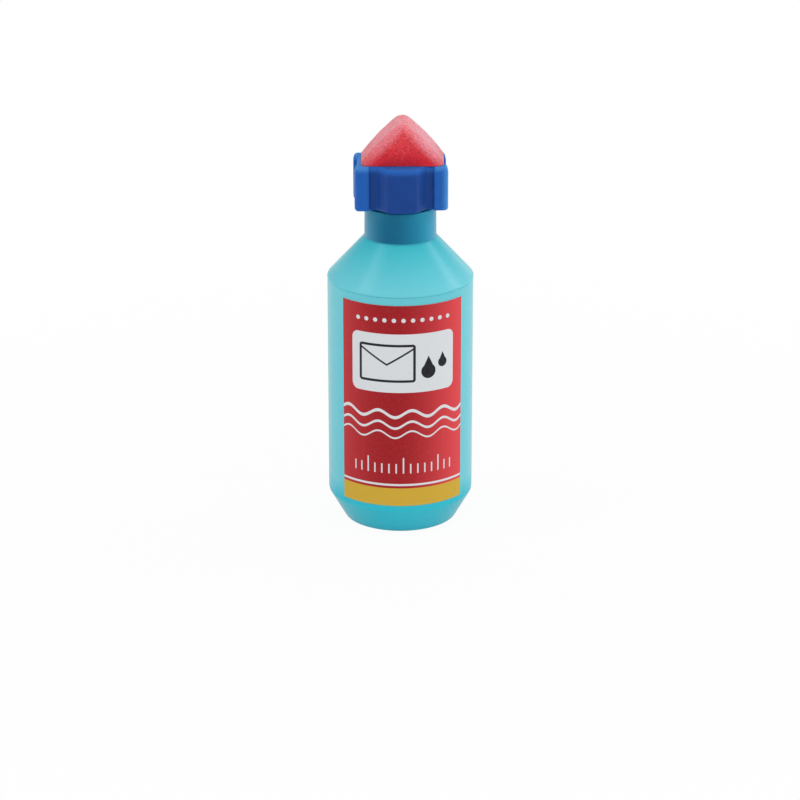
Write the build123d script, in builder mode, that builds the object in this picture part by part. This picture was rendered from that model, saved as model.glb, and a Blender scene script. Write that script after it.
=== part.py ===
"""Envelope moistener: a squeeze bottle with a screw cap that holds a foam wedge.

Millimetres. The bottle stands on z = 0 with its axis on Z, and its label faces -Y.
"""

import os
from math import sqrt

from build123d import *

os.makedirs("parts", exist_ok=True)

# Bottle body, from the foot up
base_radius = 15.6
foot_width = 2.4
base_hollow = 1.6
base_height = 7.75
body_radius = 20.0
body_height = 62.45
shoulder_height = 11.3
neck_radius = 9.8
neck_height = 8.6
bottle_wall = 1.1
foot_round = 0.6
lower_edge_round = 1.0
shoulder_edge_round = 0.8
neck_root_round = 0.8
rim_round = 0.3

# Thread between the mouth and the cap
mouth_radius = 8.0
thread_pitch = 2.5
thread_turns = 1.25
thread_depth = 0.8
thread_root_width = 1.1
thread_crest_width = 0.5
thread_clearance = 0.2
thread_sink = 0.3
thread_run_in = 0.8
rim_land = 0.8

# Sealing washer on the bottle's rim
washer_thickness = 1.0
washer_outer_radius = 8.5
washer_inner_radius = 5.8

# Screw cap
cap_gap = 0.4
skirt_wall = 0.9
nose_wall = 2.2
nose_half_width = 4.0
cap_floor = 1.2
well_width = 20.7
well_depth = 12.6
well_height = 4.0
well_corner = 0.8
well_front_wall = 1.0
well_end_wall = 1.4
post_size = 4.0
post_step = 0.88
post_corner_round = 1.0
cap_top_round = 0.8
cap_bottom_round = 0.3
feed_hole_radius = 1.0
feed_hole_circle = 3.4
feed_hole_count = 4

# Sponge
sponge_fit = 0.05
sponge_overhang = 0.55
sponge_side_height = 0.95
sponge_ridge_height = 12.3
sponge_slope_bulge = 0.55
sponge_ridge_round = 3.2
sponge_edge_round = 0.8

# Label
label_height = 58.1
label_base = 9.5
label_arc = 105.5
label_thickness = 0.12
glue_thickness = 0.05
label_corner = 0.3

# Heights that follow from the sizes above
shoulder_z = base_height + body_height
neck_z = shoulder_z + shoulder_height
neck_top = neck_z + neck_height
cap_bottom = neck_top + cap_gap
cap_thread_z = cap_bottom + thread_run_in
neck_thread_z = cap_thread_z + thread_pitch / 2
rim_z = neck_thread_z + thread_pitch * thread_turns + rim_land
cap_ceiling = rim_z + washer_thickness
well_floor_z = cap_ceiling + cap_floor
cap_top = well_floor_z + well_height

# Cap sizes that follow from the thread inside it and the well on top of it
cap_bore_radius = mouth_radius + thread_depth + thread_clearance
nose_radius = cap_bore_radius + nose_wall
panel_x = well_width / 2 + well_end_wall
panel_y = well_depth / 2 + well_front_wall
post_x = panel_x + post_step
post_y = panel_y + post_step
nose_root_x = sqrt((cap_bore_radius + skirt_wall) ** 2 - panel_y**2)
nose_tip_y = sqrt(nose_radius**2 - nose_half_width**2)


# How close a place has to be to count as the same one
match = 0.01


def ring_edges(part, radius, height):
    """The circular edges of a part that have this radius at this height."""
    circles = part.edges().filter_by(GeomType.CIRCLE)
    level = circles.filter_by_position(Axis.Z, height - match, height + match)
    return level.filter_by(lambda edge: abs(edge.radius - radius) < match)


def is_post_corner(vertex):
    """Whether a point of the cap's plan is the outer corner of a post."""
    return abs(abs(vertex.X) - post_x) < match and abs(abs(vertex.Y) - post_y) < match


# Bottle: a turned outline made hollow to one wall, open at the rim
with BuildPart() as bottle:
    with BuildSketch(Plane.XZ):
        with BuildLine():
            TangentArc((0, base_hollow), (base_radius - foot_width, 0), tangent=(1, 0))
            Polyline(
                (base_radius - foot_width, 0),
                (base_radius, 0),
                (body_radius, base_height),
                (body_radius, shoulder_z),
                (neck_radius, neck_z),
                (neck_radius, neck_top),
                (mouth_radius, neck_top),
                (mouth_radius, rim_z),
                (0, rim_z),
                (0, base_hollow),
            )
        make_face()
    revolve(axis=Axis.Z)
    offset(amount=-bottle_wall, openings=bottle.faces().sort_by(Axis.Z)[-1], kind=Kind.INTERSECTION)
    fillet(ring_edges(bottle, base_radius, 0), foot_round)
    fillet(ring_edges(bottle, body_radius, base_height), lower_edge_round)
    fillet(ring_edges(bottle, body_radius, shoulder_z), shoulder_edge_round)
    fillet(ring_edges(bottle, neck_radius, neck_z), neck_root_round)
    fillet(ring_edges(bottle, mouth_radius, rim_z), rim_round)

    # The thread on the mouth
    with BuildLine() as neck_helix:
        Helix(thread_pitch, thread_pitch * thread_turns, mouth_radius, center=(0, 0, neck_thread_z))
    with BuildSketch(Plane(neck_helix.line @ 0, x_dir=(1, 0, 0), z_dir=neck_helix.line % 0)):
        Polygon(
            (-thread_sink, -thread_root_width / 2),
            (thread_depth, -thread_crest_width / 2),
            (thread_depth, thread_crest_width / 2),
            (-thread_sink, thread_root_width / 2),
            align=None,
        )
    sweep(path=neck_helix.line, is_frenet=True)
bottle.part.label = "bottle"
export_step(bottle.part, "parts/bottle.step")

# Sealing washer: a flat ring that lies on the rim under the cap's floor
with BuildPart() as sealing_washer:
    with BuildSketch(Plane.XY.offset(rim_z)):
        Circle(washer_outer_radius)
        Circle(washer_inner_radius, mode=Mode.SUBTRACT)
    extrude(amount=washer_thickness)
sealing_washer.part.label = "sealing_washer"
export_step(sealing_washer.part, "parts/sealing_washer.step")

# Screw cap: a block with four corner posts, and a round nose front and back over the thread
with BuildPart() as screw_cap:
    with BuildSketch(Plane.XY.offset(cap_bottom)) as cap_plan:
        Rectangle(2 * panel_x, 2 * panel_y)
        with GridLocations(2 * post_x - post_size, 2 * post_y - post_size, 2, 2):
            Rectangle(post_size, post_size)
        with BuildLine():
            Line((nose_root_x, -panel_y), (nose_half_width, -nose_tip_y))
            RadiusArc((nose_half_width, -nose_tip_y), (-nose_half_width, -nose_tip_y), nose_radius)
            Line((-nose_half_width, -nose_tip_y), (-nose_root_x, -panel_y))
            mirror(about=Plane.XZ)
            Line((nose_root_x, -panel_y), (nose_root_x, panel_y))
            Line((-nose_root_x, -panel_y), (-nose_root_x, panel_y))
        make_face()
        fillet(cap_plan.vertices().filter_by(is_post_corner), post_corner_round)
    extrude(amount=cap_top - cap_bottom)
    fillet(screw_cap.faces().sort_by(Axis.Z)[-1].edges(), cap_top_round)
    fillet(screw_cap.faces().sort_by(Axis.Z)[0].edges(), cap_bottom_round)

    # The bore over the mouth, and the well for the sponge above it
    with BuildSketch(Plane.XY.offset(cap_bottom)):
        Circle(cap_bore_radius)
    extrude(amount=cap_ceiling - cap_bottom, mode=Mode.SUBTRACT)
    with BuildSketch(Plane.XY.offset(well_floor_z)):
        RectangleRounded(well_width, well_depth, well_corner)
    extrude(amount=well_height, mode=Mode.SUBTRACT)

    # Feed holes through the well's floor
    with Locations((0, 0, well_floor_z)):
        Hole(feed_hole_radius, depth=cap_floor)
        with PolarLocations(feed_hole_circle, feed_hole_count):
            Hole(feed_hole_radius, depth=cap_floor)

    # The thread inside, half a pitch below the mouth's thread
    with BuildLine() as cap_helix:
        Helix(thread_pitch, thread_pitch * thread_turns, cap_bore_radius, center=(0, 0, cap_thread_z))
    with BuildSketch(Plane(cap_helix.line @ 0, x_dir=(1, 0, 0), z_dir=cap_helix.line % 0)):
        Polygon(
            (thread_sink, -thread_root_width / 2),
            (-thread_depth, -thread_crest_width / 2),
            (-thread_depth, thread_crest_width / 2),
            (thread_sink, thread_root_width / 2),
            align=None,
        )
    sweep(path=cap_helix.line, is_frenet=True)
screw_cap.part.label = "screw_cap"
export_step(screw_cap.part, "parts/screw_cap.step")

# Sponge: a wedge whose ridge runs front to back, over a base that fills the well
with BuildPart() as sponge:
    wedge_half_width = well_width / 2 + sponge_overhang
    wedge_depth = well_depth + 2 * sponge_overhang
    with BuildSketch(Plane.XZ) as wedge_profile:
        with BuildLine():
            Polyline(
                (0, cap_top + sponge_ridge_height),
                (0, cap_top),
                (wedge_half_width, cap_top),
                (wedge_half_width, cap_top + sponge_side_height),
            )
            SagittaArc(
                (0, cap_top + sponge_ridge_height),
                (wedge_half_width, cap_top + sponge_side_height),
                sponge_slope_bulge,
            )
        make_face()
        mirror(about=Plane.YZ)
        fillet(wedge_profile.vertices().sort_by(Axis.Y)[-1], sponge_ridge_round)
    extrude(amount=wedge_depth / 2, both=True)
    ridge_z = cap_top + sponge_ridge_height
    gable_edges = sponge.faces().filter_by(Axis.Y).edges()
    fillet(gable_edges.filter_by_position(Axis.Z, cap_top + match, ridge_z), sponge_edge_round)
    with BuildSketch(Plane.XY.offset(well_floor_z)):
        RectangleRounded(well_width - 2 * sponge_fit, well_depth - 2 * sponge_fit, well_corner - sponge_fit)
    extrude(amount=well_height)
sponge.part.label = "sponge"
export_step(sponge.part, "parts/sponge.step")

# Label: a sheet bent round the front of the body
with BuildPart() as label:
    label_radius = body_radius + glue_thickness
    label_start = -90 - label_arc / 2
    with BuildSketch(Plane.XY.offset(label_base)):
        with BuildLine():
            back = CenterArc((0, 0), label_radius, label_start, label_arc)
            face = CenterArc((0, 0), label_radius + label_thickness, label_start, label_arc)
            Line(back @ 0, face @ 0)
            Line(back @ 1, face @ 1)
        make_face()
    extrude(amount=label_height)
    corner_edges = label.edges().filter_by(lambda edge: abs(edge.length - label_thickness) < match)
    fillet(corner_edges, label_corner)
label.part.label = "label"
export_step(label.part, "parts/label.step")
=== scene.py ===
"""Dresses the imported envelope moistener: a squeeze bottle, its label, a screw cap and a foam wedge.

Metres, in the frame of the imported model: the bottle stands on z = 0 and its label faces -Y.
"""

import math

import bmesh
import bpy
from bpy.props import FloatProperty, FloatVectorProperty, IntProperty, PointerProperty
from mathutils import Matrix, Vector


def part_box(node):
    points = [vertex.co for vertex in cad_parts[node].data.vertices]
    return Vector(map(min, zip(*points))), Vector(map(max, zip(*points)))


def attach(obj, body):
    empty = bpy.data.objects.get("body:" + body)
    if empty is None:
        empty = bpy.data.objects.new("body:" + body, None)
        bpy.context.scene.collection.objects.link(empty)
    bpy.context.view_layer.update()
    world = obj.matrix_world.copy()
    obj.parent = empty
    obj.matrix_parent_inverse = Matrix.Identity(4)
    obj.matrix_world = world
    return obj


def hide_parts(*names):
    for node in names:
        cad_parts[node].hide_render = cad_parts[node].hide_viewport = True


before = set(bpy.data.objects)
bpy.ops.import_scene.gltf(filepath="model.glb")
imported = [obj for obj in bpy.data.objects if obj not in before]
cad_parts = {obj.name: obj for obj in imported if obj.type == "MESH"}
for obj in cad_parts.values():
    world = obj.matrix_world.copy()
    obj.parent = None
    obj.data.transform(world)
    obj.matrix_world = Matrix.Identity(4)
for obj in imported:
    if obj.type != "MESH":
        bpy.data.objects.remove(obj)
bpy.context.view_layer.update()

bl_info = {
    "name": "Envelope moistener",
    "version": (1, 0, 0),
    "blender": (4, 5, 0),
    "location": "3D View > Sidebar > Moistener",
    "description": "Moulds, prints and lights an envelope moistener over its packed model",
    "category": "Object",
}

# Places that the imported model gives
_, bottle_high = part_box("bottle")
label_low, label_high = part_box("label")
_, washer_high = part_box("sealing_washer")
cap_low, cap_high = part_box("screw_cap")
sponge_low, sponge_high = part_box("sponge")

# Edges that bend more than this stay sharp
sharp_angle = math.radians(40)

# Places closer than this are one
same_place = 1e-6

white = (1, 1, 1, 1)


def setting(kind, default, description, **options):
    """A function that makes a setting once it is told its name."""
    return lambda name: kind(name=name, description=description, default=default, **options)


def length(default, description):
    """A size in metres."""
    return setting(FloatProperty, default, description, unit="LENGTH", precision=5)


def share(default, description):
    """A number from 0 to 1."""
    return setting(FloatProperty, default, description, min=0, max=1, subtype="FACTOR")


def angle(degrees, description):
    """An angle, given in degrees."""
    return setting(FloatProperty, math.radians(degrees), description, subtype="ANGLE")


def colour(default, description):
    """A linear colour."""
    return setting(FloatVectorProperty, default, description, size=3, min=0, max=1, subtype="COLOR")


def power(default, description):
    """A lamp's power in watts."""
    return setting(FloatProperty, default, description, min=0, unit="POWER")


def named(group):
    """Make each setting of a group, with its variable's name as its own."""
    for key, make in group.__annotations__.items():
        group.__annotations__[key] = make(key.replace("_", " ").capitalize())
    return group


@named
class BottleSettings(bpy.types.PropertyGroup):
    """Sizes and colours of the blow-moulded bottle"""

    base_radius: length(0.0156, "Radius of the foot")
    foot_width: length(0.0024, "Width of the flat ring that it stands on")
    base_hollow: length(0.0016, "How far the middle of the base is domed in")
    base_height: length(0.00775, "Height of the tapered base")
    shoulder_edge: length(0.0702, "Height of the shoulder's edge")
    neck_root: length(0.0815, "Height where the shoulder meets the neck")
    neck_top: length(0.0901, "Height of the ledge under the mouth")
    neck_radius: length(0.0098, "Radius of the plain neck")
    mouth_radius: length(0.008, "Radius of the threaded mouth")
    wall: length(0.0011, "Thickness of the wall")
    foot_round: length(0.0006, "Round on the foot's edges")
    lower_edge_round: length(0.001, "Round where the base meets the body")
    shoulder_edge_round: length(0.0008, "Round where the body meets the shoulder")
    neck_root_round: length(0.0003, "Round where the shoulder meets the neck")
    rim_round: length(0.0003, "Round on the ledge and the rim")
    inner_round: length(0.0005, "Round inside the wall")
    bead: length(0.0001, "How far the shoulder's edge stands proud of the body")
    groove_depth: length(0.00014, "Depth of the fine groove under the shoulder's edge")
    groove_width: length(0.00016, "Half the width of that groove")
    ring_pitch: length(0.0003, "Spacing of the turning marks round the top of the shoulder")
    columns: setting(IntProperty, 192, "Faces round the bottle", min=24)
    crowding: share(0.8, "How far the faces crowd together at the parting line")
    mould_line_height: length(0.00006, "How far the mould's parting line stands proud")
    mould_line_width: length(0.00022, "Half the width of the parting line")
    body_colour: colour((0.166, 0.680, 0.778), "Plastic of the body")
    shoulder_colour: colour((0.045, 0.580, 0.680), "Plastic near the top of the shoulder")
    neck_colour: colour((0.003, 0.155, 0.300), "Thick plastic at the root of the neck")
    ledge_colour: colour((0.005, 0.180, 0.310), "Plastic of the neck under the cap")
    # Painted light: a lighter colour for the neck's sides
    thin_colour: colour((0.020, 0.400, 0.610), "Neck's sides, where more light comes through")
    base_colour: colour((0.018, 0.585, 0.725), "Thick plastic of the base")
    milk_colour: colour((0.30, 0.74, 0.82), "Milky clouds in the plastic")
    roughness: share(0.24, "Roughness of the satin skin")


@named
class ThreadSettings(bpy.types.PropertyGroup):
    """Sizes of the screw thread between mouth and cap"""

    pitch: length(0.0025, "Rise of the thread in one turn")
    turns: setting(FloatProperty, 1.25, "Turns of each thread", min=0.25)
    steps: setting(IntProperty, 96, "Faces along each turn", min=12)
    depth: length(0.0008, "How far the thread stands proud")
    root_width: length(0.0011, "Width of the thread at its root")
    crest_width: length(0.0005, "Width of the thread at its crest")
    sink: length(0.0003, "How far the thread is rooted in the wall")
    mouth_thread_start: length(0.09255, "Height where the mouth's thread starts")
    cap_thread_start: length(0.0913, "Height where the cap's thread starts")


@named
class CapSettings(bpy.types.PropertyGroup):
    """Sizes and colours of the moulded screw cap"""

    bore_radius: length(0.009, "Radius of the bore over the mouth")
    bore_columns: setting(IntProperty, 96, "Faces round the bore", min=24)
    skirt_radius: length(0.0099, "Radius where the nose leaves the front panel")
    nose_half_width: length(0.004, "Half the width of the round nose")
    nose_steps: setting(IntProperty, 10, "Faces across half of the nose", min=2)
    end_panel: length(0.01175, "Distance of the end panels from the axis")
    front_panel: length(0.0073, "Distance of the front and back panels from the axis")
    post_front: length(0.00818, "Distance of the posts' faces from the axis")
    post_size: length(0.004, "Width of each corner post")
    post_round: length(0.0014, "Round on the outer corner of a post")
    edge_round: length(0.0004, "Round on the other upright edges")
    nose_round: length(0.0012, "Round where the nose meets its flanks")
    root_round: length(0.0016, "Round in the hollow beside the nose")
    top_round: length(0.0008, "How far the round on the top edge reaches in")
    top_drop: length(0.0018, "How far the round on the top edge reaches down")
    bottom_round: length(0.0005, "How far the round on the bottom edge reaches in")
    bottom_rise: length(0.0008, "How far the round on the bottom edge reaches up")
    edge_steps: setting(IntProperty, 6, "Faces across the rounds on the top and bottom edges", min=2)
    well_width: length(0.0207, "Width of the sponge's well")
    well_depth: length(0.0126, "Depth of the sponge's well, front to back")
    well_corner: length(0.0008, "Round in the well's corners")
    feed_hole_radius: length(0.001, "Radius of the feed holes")
    feed_hole_circle: length(0.0034, "Radius of the ring of feed holes")
    feed_hole_count: setting(IntProperty, 4, "Feed holes round the middle one", min=1)
    plastic_colour: colour((0.012, 0.078, 0.360), "Coloured plastic of the cap")
    # Painted light: a lighter colour for the posts and rim
    thin_colour: colour((0.016, 0.150, 0.560), "Posts and rim, where light comes through")
    # Painted highlight on the posts' tops and right corners
    edge_colour: colour((0.065, 0.290, 0.700), "Thinnest plastic, on the posts' tops and right corners")
    rub_colour: colour((0.08, 0.20, 0.50), "Faint rubbed spots")
    roughness: share(0.34, "Roughness of the moulded skin")


@named
class SpongeSettings(bpy.types.PropertyGroup):
    """Sizes and colours of the foam wedge"""

    side_height: length(0.0007, "Height of the upright sides over the cap")
    ridge_height: length(0.01215, "Height where the slopes would meet over the cap")
    sits_aside: length(0.00055, "How far the foam sits to the right of the cap's middle")
    sits_turned: angle(-2.4, "How far the foam is turned in the cap")
    swell: length(0.0003, "How far the foam bulges past its cut width")
    slope_bulge: length(0.00055, "How far the slopes bulge")
    ridge_round: length(0.0032, "Round along the ridge")
    edge_round: length(0.0022, "Round on the gables' edges")
    plug_gap: length(0.00005, "Gap between the foam and the well")
    grid: length(0.000125, "Size of the foam's faces")
    cell_size: length(0.00045, "Size of the foam's cells")
    pit_depth: length(0.00013, "Depth of the open cells")
    lump_height: length(0.0001, "Unevenness of the cut foam")
    seed: setting(FloatProperty, 3.0, "Which foam this is")
    foam_colour: colour((0.930, 0.066, 0.084), "Cell walls of the foam")
    # Painted shade in the open cells, also used for dark flecks
    pit_colour: colour((0.620, 0.028, 0.042), "Inside of the open cells")
    # Deeper colour for the foam towards the cap
    damp_colour: colour((0.720, 0.011, 0.027), "Foam that is damp, next to the cap")
    # Painted sheen on the slopes, brighter on the right slope; the first colour also makes pale flecks
    skin_colour: colour((0.950, 0.415, 0.480), "Dry cut skin of the slopes")
    dry_colour: colour((1.000, 0.600, 0.710), "Driest skin, on the right slope")
    skin_depth: length(0.0028, "How far the dry skin reaches in from the slopes")
    damp_height: length(0.0075, "How far the foam is damp over the cap")


@named
class LabelSettings(bpy.types.PropertyGroup):
    """Sizes and colours of the printed label"""

    columns: setting(IntProperty, 72, "Faces along the label's bend", min=8)
    inner_radius: length(0.02005, "Radius of the label's back")
    outer_radius: length(0.02017, "Radius of the label's face")
    arc: angle(105.5, "How far the label reaches round the body")
    ground_colour: colour((0.430, 0.009, 0.015), "Printed ground")
    # Painted light: the ground is painted brighter towards the right side and a little at the left edge
    bright_colour: colour((0.860, 0.066, 0.078), "Printed ground towards the edges")
    panel_colour: colour((0.800, 0.830, 0.860), "Unprinted panel and lines")
    ink_colour: colour((0.020, 0.022, 0.030), "Dark ink on the panel")
    accent_colour: colour((0.720, 0.450, 0.040), "Band along the foot of the label")
    back_colour: colour((0.80, 0.80, 0.78), "Bare paper of the back and the cut edges")
    fibre_colour: colour((0.70, 0.55, 0.50), "Paper fibres that show through the print")


@named
class StageSettings(bpy.types.PropertyGroup):
    """Camera and studio light"""

    focal_length: setting(FloatProperty, 135.0, "Lens, in millimetres", unit="CAMERA")
    distance: length(0.837, "From the camera to the point that it looks at")
    pitch: angle(20.58, "How far the camera looks down")
    azimuth: angle(-2.4, "How far the camera stands to the right")
    aim_height: length(0.03311, "Height of the point that it looks at")
    sideways_shift: setting(FloatProperty, -0.0005, "Sideways shift of the picture")
    key_power: power(0.55, "Softbox behind on the right")
    fill_power: power(0.5, "Softbox high on the left")
    front_light: share(0.91, "Light from the camera's side of the room")
    back_light: share(0.80, "Light from the white wall behind")
    front_glare: share(0.15, "How bright the camera's side of the room is in reflections")
    ceiling_shade: share(0.85, "How dark the room over the backdrop is in reflections")
    side_shade: share(0.15, "How much dimmer the left of the room is than its middle")
    side_glare: share(0.5, "How bright the left of the room is in reflections")
    floor_glare: share(0.80, "How bright the floor behind the bottle is in reflections")
    floor_glow: share(0.95, "How far the floor clears to white beside the bottle")
    floor_fade: length(0.35, "How far from the bottle the floor is all white")
    floor_size: length(4.0, "Half the width of the floor")


class Wire:
    """One socket of a node tree: arithmetic on it adds Math nodes, and its methods add other nodes."""

    def __init__(self, tree, socket=None):
        self.tree = tree
        self.socket = socket

    def add(self, kind, sockets=None, out=0, **settings):
        """Add a node of this type, set it up, feed its sockets and give back one of its outputs."""
        node = self.tree.nodes.new(kind)
        for name, value in settings.items():
            setattr(node, name, value)
        for name, value in (sockets or {}).items():
            for each in value if isinstance(value, list) else [value]:
                if isinstance(each, Wire):
                    self.tree.links.new(each.socket, node.inputs[name])
                else:
                    node.inputs[name].default_value = each
        return Wire(self.tree, node.outputs[out])

    def output(self, name):
        """Another output of the same node."""
        return Wire(self.tree, self.socket.node.outputs[name])

    def math(self, operation, *others):
        """A Math node on this wire and others."""
        return self.add("ShaderNodeMath", dict(enumerate((self, *others))), operation=operation)

    def __add__(self, other):
        return self.math("ADD", other)

    __radd__ = __add__

    def __sub__(self, other):
        return self.math("SUBTRACT", other)

    def __rsub__(self, other):
        return self.add("ShaderNodeMath", {0: other, 1: self}, operation="SUBTRACT")

    def __mul__(self, other):
        return self.math("MULTIPLY", other)

    __rmul__ = __mul__

    def __truediv__(self, other):
        return self.math("DIVIDE", other)

    def __rtruediv__(self, other):
        return self.add("ShaderNodeMath", {0: other, 1: self}, operation="DIVIDE")

    def __abs__(self):
        return self.math("ABSOLUTE")

    def highest(self, *others):
        """The highest of this wire and others."""
        wire = self
        for other in others:
            wire = wire.math("MAXIMUM", other)
        return wire

    def lowest(self, other):
        """The lower of this wire and another."""
        return self.math("MINIMUM", other)

    def root_square(self, other):
        """The length of a line that goes this far one way and the other's value square to it."""
        return (self * self + other * other).math("SQRT")

    def nearest(self, spacing):
        """The multiple of a spacing that is nearest to this wire."""
        return (self / spacing).math("ROUND") * spacing

    def step(self, low, high):
        """A smooth step from 0 at low to 1 at high."""
        sockets = {"Value": self, "From Min": low, "From Max": high}
        return self.add("ShaderNodeMapRange", sockets, interpolation_type="SMOOTHSTEP")

    def mix(self, first, second):
        """A colour between two, by this wire."""
        pair = [value if isinstance(value, Wire) else (*value, 1) for value in (first, second)]
        sockets = {0: self, 6: pair[0], 7: pair[1]}
        return self.add("ShaderNodeMix", sockets, out=2, data_type="RGBA", clamp_factor=True)

    def ramp(self, *stops):
        """A colour by this wire, from two or more stops of (position, colour)."""
        wire = self.add("ShaderNodeValToRGB", {"Fac": self})
        elements = wire.socket.node.color_ramp.elements
        for place, (position, stop_colour) in enumerate(stops):
            stop = elements[place] if place < 2 else elements.new(position)
            stop.position = position
            stop.color = (*stop_colour, 1)
        return wire

    def xyz(self):
        """The three parts of this vector."""
        x = self.add("ShaderNodeSeparateXYZ", {0: self})
        return x, x.output("Y"), x.output("Z")

    def noise(self, scale, detail=2.0, roughness=0.5):
        """Noise from 0 to 1 over this vector."""
        sockets = {"Vector": self, "Scale": scale, "Detail": detail, "Roughness": roughness}
        return self.add("ShaderNodeTexNoise", sockets)

    def bump(self, strength, distance):
        """A normal that follows this height."""
        return self.add("ShaderNodeBump", {"Strength": strength, "Distance": distance, "Height": self})

    def store(self, name, value):
        """This geometry with a value kept on its points."""
        sockets = {"Geometry": self, "Name": name, "Value": value}
        return self.add("GeometryNodeStoreNamedAttribute", sockets, data_type="FLOAT", domain="POINT")

    def push(self, distance):
        """This geometry with its points moved out along their normals."""
        normal = self.add("GeometryNodeInputNormal")
        offset = self.add("ShaderNodeVectorMath", {0: normal, "Scale": distance}, operation="SCALE")
        return self.add("GeometryNodeSetPosition", {"Geometry": self, "Offset": offset})

    def join(self, *others):
        """This geometry and others as one."""
        return self.add("GeometryNodeJoinGeometry", {"Geometry": [self, *others]})


def clear_nodes(owner):
    """A wire in the emptied node tree of a material or world."""
    owner.use_nodes = True
    owner.node_tree.nodes.clear()
    return Wire(owner.node_tree)


def end_nodes(shader, kind):
    """Show a shader as the surface of its Material or World."""
    output = shader.tree.nodes.new("ShaderNodeOutput" + kind)
    shader.tree.links.new(shader.socket, output.inputs["Surface"])


def new_material(name):
    """A material with no shader yet, and its object coordinates as a wire."""
    material = bpy.data.materials.new(name)
    return material, clear_nodes(material).add("ShaderNodeTexCoord", out="Object")


def finish_material(wire, sockets):
    """End a material in a Principled shader with these sockets."""
    end_nodes(wire.add("ShaderNodeBsdfPrincipled", sockets), "Material")


def new_tree(name, values):
    """A Geometry Nodes tree with an input for each named value: the tree, and its inputs as wires."""
    tree = bpy.data.node_groups.new(name, "GeometryNodeTree")
    tree.interface.new_socket("Geometry", in_out="INPUT", socket_type="NodeSocketGeometry")
    for socket, value in values.items():
        kind = "NodeSocketInt" if isinstance(value, int) else "NodeSocketFloat"
        tree.interface.new_socket(socket, in_out="INPUT", socket_type=kind)
    tree.interface.new_socket("Geometry", in_out="OUTPUT", socket_type="NodeSocketGeometry")
    entry = tree.nodes.new("NodeGroupInput")
    return tree, {socket.name: Wire(tree, socket) for socket in entry.outputs if socket.name}


def close_tree(geometry, material):
    """End a Geometry Nodes tree in real faces of one material."""
    real = geometry.add("GeometryNodeRealizeInstances", {"Geometry": geometry})
    done = real.add("GeometryNodeSetMaterial", {"Geometry": real, "Material": material})
    output = done.tree.nodes.new("NodeGroupOutput")
    done.tree.links.new(done.socket, output.inputs["Geometry"])


def run_tree(piece, tree, values):
    """Run a Geometry Nodes tree on a piece and keep its result as a plain mesh."""
    modifier = piece.modifiers.new(tree.name, "NODES")
    modifier.node_group = tree
    for item in tree.interface.items_tree:
        if item.in_out == "INPUT" and item.name in values:
            modifier[item.identifier] = values[item.name]
    keep_result(piece)


def keep_result(piece):
    """Turn a piece with its modifiers into a plain mesh."""
    graph = bpy.context.evaluated_depsgraph_get()
    mesh = bpy.data.meshes.new_from_object(piece.evaluated_get(graph))
    piece.modifiers.clear()
    piece.data = mesh


def new_piece(name, shape):
    """An object made from a bmesh, which is freed."""
    mesh = bpy.data.meshes.new(name)
    shape.to_mesh(mesh)
    shape.free()
    piece = bpy.data.objects.new(name, mesh)
    bpy.context.scene.collection.objects.link(piece)
    return piece


def soften(piece):
    """Smooth shading that keeps flat faces flat and sharp edges sharp."""
    piece.data.shade_smooth()
    piece.data.set_sharp_from_angle(angle=sharp_angle)
    modifier = piece.modifiers.new("Flat faces", "WEIGHTED_NORMAL")
    modifier.keep_sharp = True
    keep_result(piece)


def dress(piece, node, body):
    """Let a finished piece stand for a CAD node."""
    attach(piece, body)
    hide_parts(node)


def rounded(corners, inset=0.0, steps=6, closed=True):
    """Points along corners of (x, y, radius), each rounded, with the line moved to its left by inset."""
    points = []
    count_of_corners = len(corners)
    for place, (x, y, radius) in enumerate(corners):
        here = Vector((x, y))
        if not closed and place in (0, count_of_corners - 1):
            points.append(here)
            continue
        before = (here - Vector(corners[place - 1][:2])).normalized()
        after = (Vector(corners[(place + 1) % count_of_corners][:2]) - here).normalized()
        normals = Vector((-before.y, before.x)), Vector((-after.y, after.x))
        here = here + (normals[0] + normals[1]) * inset / (1 + normals[0].dot(normals[1]))
        if radius == 0:
            points.append(here)
            continue
        turn = math.atan2(before.cross(after), before.dot(after))
        side = 1 if turn > 0 else -1
        bend = max(radius - side * inset, same_place)
        start = here - before * bend * math.tan(abs(turn) / 2)
        centre = start + normals[0] * side * bend
        spoke = start - centre
        for step in range(steps + 1):
            swing = turn * step / steps
            points.append(centre + Vector((
                spoke.x * math.cos(swing) - spoke.y * math.sin(swing),
                spoke.x * math.sin(swing) + spoke.y * math.cos(swing),
            )))
    return points


def rounded_box(half_x, half_y, corner):
    """Points along a box with rounded corners about the axis, anticlockwise."""
    signs = (-1, -1), (1, -1), (1, 1), (-1, 1)
    return rounded([(half_x * x, half_y * y, corner) for x, y in signs])


def on_circle(radius, swing):
    """The point of a circle at an angle from X."""
    return Vector((math.cos(swing), math.sin(swing))) * radius


def quarter_turn(steps):
    """Angles from 0 to a right angle."""
    return [math.pi / 2 * k / steps for k in range(steps + 1)]


def ring(shape, points, z):
    """A closed loop of points at one height."""
    return [shape.verts.new((x, y, z)) for x, y in points]


def strip(shape, lower, upper):
    """Faces between two loops of as many points."""
    for place in range(len(lower)):
        after = (place + 1) % len(lower)
        shape.faces.new((lower[place], lower[after], upper[after], upper[place]))


def loop_edges(shape, loop):
    """The edges of a loop, made if they aren't there."""
    pairs = zip(loop, loop[1:] + loop[:1])
    return [shape.edges.get(pair) or shape.edges.new(pair) for pair in pairs]


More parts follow.
